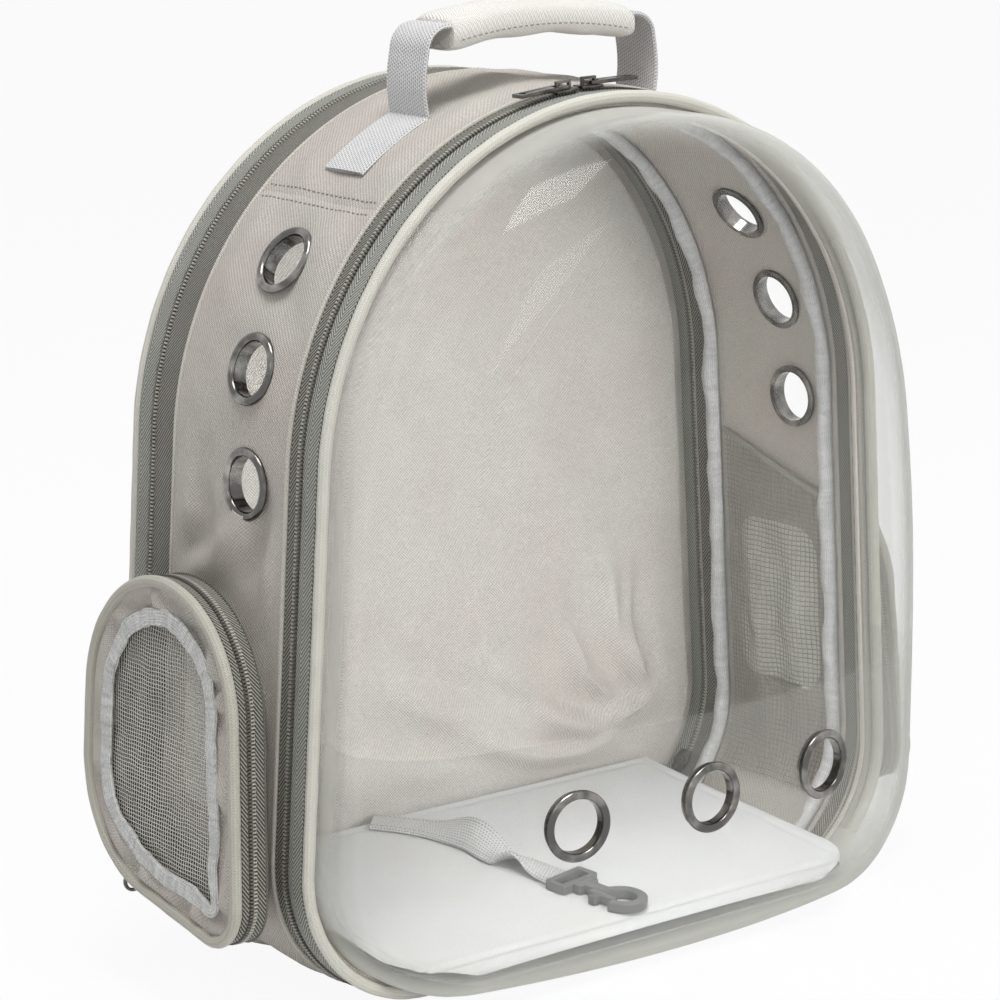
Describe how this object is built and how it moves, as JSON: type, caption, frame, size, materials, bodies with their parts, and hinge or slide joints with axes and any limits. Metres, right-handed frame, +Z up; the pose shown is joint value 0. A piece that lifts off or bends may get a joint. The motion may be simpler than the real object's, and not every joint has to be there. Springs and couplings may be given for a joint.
{
  "type": "pet backpack carrier",
  "caption": "Arched soft pet carrier worn as a backpack, with a clear domed zip-off front, zipped back door, net side pockets, vent eyelets, top handle and inner leash.",
  "frame": {"origin": "centre of the base's flat underside, midway in the depth of the arched body", "axes": "+Z up, +X to the right seen from the front, -Y towards the clear front cover"},
  "size_m": [0.3758, 0.234, 0.3972],
  "materials": {
    "fabric_grey": "woven twill",
    "lining": "woven lining",
    "zip_tape": "herringbone tape",
    "trim": "bound edge",
    "clear_pvc": "clear flexible sheet",
    "gunmetal": "polished gunmetal",
    "white_mat": "soft cover",
    "webbing": "woven webbing",
    "plastic": "moulded",
    "net": "knitted net",
    "board": "sheet"
  },
  "bodies": {
    "shell": {"side_panel_left": "fabric_grey", "side_panel_right": "fabric_grey", "top_panel": "fabric_grey", "base_panel": "fabric_grey", "base_board": "board", "floor_mat": "white_mat", "side_grommets": "gunmetal", "front_zip_gusset_tape": "zip_tape", "rear_zip_gusset_tape": "zip_tape", "front_inner_binding": "trim", "rear_inner_binding": "trim", "side_net_left": "net", "side_net_right": "net", "handle_tabs": "webbing", "leash_webbing": "webbing", "leash_hook_base": "plastic", "leash_hook": "plastic", "pocket_wall_left": "fabric_grey", "pocket_wall_right": "fabric_grey", "pocket_zip_wall_tape_left": "zip_tape", "pocket_zip_wall_tape_right": "zip_tape"},
    "front_cover": {"cover_frame": "trim", "cover_piping": "trim", "cover_bubble": "clear_pvc", "cover_grommets": "gunmetal", "front_zip_cover_tape": "zip_tape"},
    "back_door": {"back_panel": "fabric_grey", "back_lining": "lining", "back_pad": "fabric_grey", "back_piping": "trim", "rear_zip_back_tape": "zip_tape", "shoulder_strap_left": "fabric_grey", "shoulder_strap_right": "fabric_grey", "strap_webbings": "webbing", "ladder_locks": "plastic"},
    "handle": {"handle_webbing": "webbing", "handle_grip": "fabric_grey"},
    "leash_gate": {"leash_hook_gate": "plastic"},
    "rear_slider": {"rear_slider": "gunmetal"},
    "rear_pull": {"rear_pull": "gunmetal"},
    "pocket_door_left": {"pocket_panel_left": "fabric_grey", "pocket_net_left": "net", "pocket_binding_left": "trim", "pocket_piping_left": "trim", "pocket_zip_door_tape_left": "zip_tape"},
    "front_slider_left": {"front_slider_left": "gunmetal"},
    "front_pull_left": {"front_pull_left": "gunmetal"},
    "pocket_slider_left": {"pocket_slider_left": "gunmetal"},
    "pocket_pull_left": {"pocket_pull_left": "gunmetal"},
    "pocket_door_right": {"pocket_panel_right": "fabric_grey", "pocket_net_right": "net", "pocket_binding_right": "trim", "pocket_piping_right": "trim", "pocket_zip_door_tape_right": "zip_tape"},
    "front_slider_right": {"front_slider_right": "gunmetal"},
    "front_pull_right": {"front_pull_right": "gunmetal"},
    "pocket_slider_right": {"pocket_slider_right": "gunmetal"},
    "pocket_pull_right": {"pocket_pull_right": "gunmetal"}
  },
  "joints": [
    {"name": "front_cover_hinge", "type": "hinge", "parent": "shell", "child": "front_cover", "pos_m": [0, -0.0536, 0], "axis": [1, 0, 0], "range_deg": [0, 95]},
    {"name": "back_door_hinge", "type": "hinge", "parent": "shell", "child": "back_door", "pos_m": [0, 0.0526, 0], "axis": [-1, 0, 0], "range_deg": [0, 85]},
    {"name": "pocket_door_right_hinge", "type": "hinge", "parent": "shell", "child": "pocket_door_right", "pos_m": [0.17311, 0.0583, 0.12082], "axis": [-0.0636, 0, 0.998], "range_deg": [0, 95]},
    {"name": "pocket_door_left_hinge", "type": "hinge", "parent": "shell", "child": "pocket_door_left", "pos_m": [-0.17311, 0.0583, 0.12082], "axis": [-0.0636, 0, -0.998], "range_deg": [0, 95]},
    {"name": "front_slider_right_travel", "type": "hinge", "parent": "shell", "child": "front_slider_right", "pos_m": [0, -0.0536, 0.216], "axis": [0, 1, 0], "range_deg": [0, 82]},
    {"name": "front_slider_left_travel", "type": "hinge", "parent": "shell", "child": "front_slider_left", "pos_m": [0, -0.0536, 0.216], "axis": [0, 1, 0], "range_deg": [-77, 0]},
    {"name": "front_pull_right_swing", "type": "hinge", "parent": "front_slider_right", "child": "front_pull_right", "pos_m": [-0.00346, -0.0536, 0.36836], "axis": [0, -1, 0], "range_deg": [0, 120]},
    {"name": "front_pull_left_swing", "type": "hinge", "parent": "front_slider_left", "child": "front_pull_left", "pos_m": [-0.01672, -0.0536, 0.36748], "axis": [0, 1, 0], "range_deg": [0, 120]},
    {"name": "rear_slider_travel", "type": "hinge", "parent": "shell", "child": "rear_slider", "pos_m": [0.098, 0.0526, 0.062], "axis": [0, -1, 0], "range_deg": [0, 30]},
    {"name": "rear_pull_swing", "type": "hinge", "parent": "rear_slider", "child": "rear_pull", "pos_m": [0.14875, 0.0526, 0.02235], "axis": [0, 1, 0], "range_deg": [0, 120]},
    {"name": "pocket_slider_right_travel", "type": "hinge", "parent": "shell", "child": "pocket_slider_right", "pos_m": [0.17476, 0.004, 0.09487], "axis": [0.998, 0, 0.0636], "range_deg": [-14, 33]},
    {"name": "pocket_slider_left_travel", "type": "hinge", "parent": "shell", "child": "pocket_slider_left", "pos_m": [-0.17476, 0.004, 0.09487], "axis": [0.998, 0, -0.0636], "range_deg": [-14, 33]},
    {"name": "pocket_pull_right_swing", "type": "hinge", "parent": "pocket_slider_right", "child": "pocket_pull_right", "pos_m": [0.17793, 0.03048, 0.04517], "axis": [0.998, 0, 0.0636], "range_deg": [-55, 60]},
    {"name": "pocket_pull_left_swing", "type": "hinge", "parent": "pocket_slider_left", "child": "pocket_pull_left", "pos_m": [-0.17793, 0.03048, 0.04517], "axis": [0.998, 0, -0.0636], "range_deg": [-55, 60]},
    {"name": "handle_swing", "type": "hinge", "parent": "shell", "child": "handle", "pos_m": [0, -0.008, 0.36644], "axis": [1, 0, 0], "range_deg": [-35, 35]},
    {"name": "leash_gate_slide", "type": "slide", "parent": "shell", "child": "leash_gate", "axis": [-0.1961, 0.977, 0.0835], "range_m": [0, 0.0042], "stiffness_N_per_m": 150, "springref_m": -0.004}
  ]
}
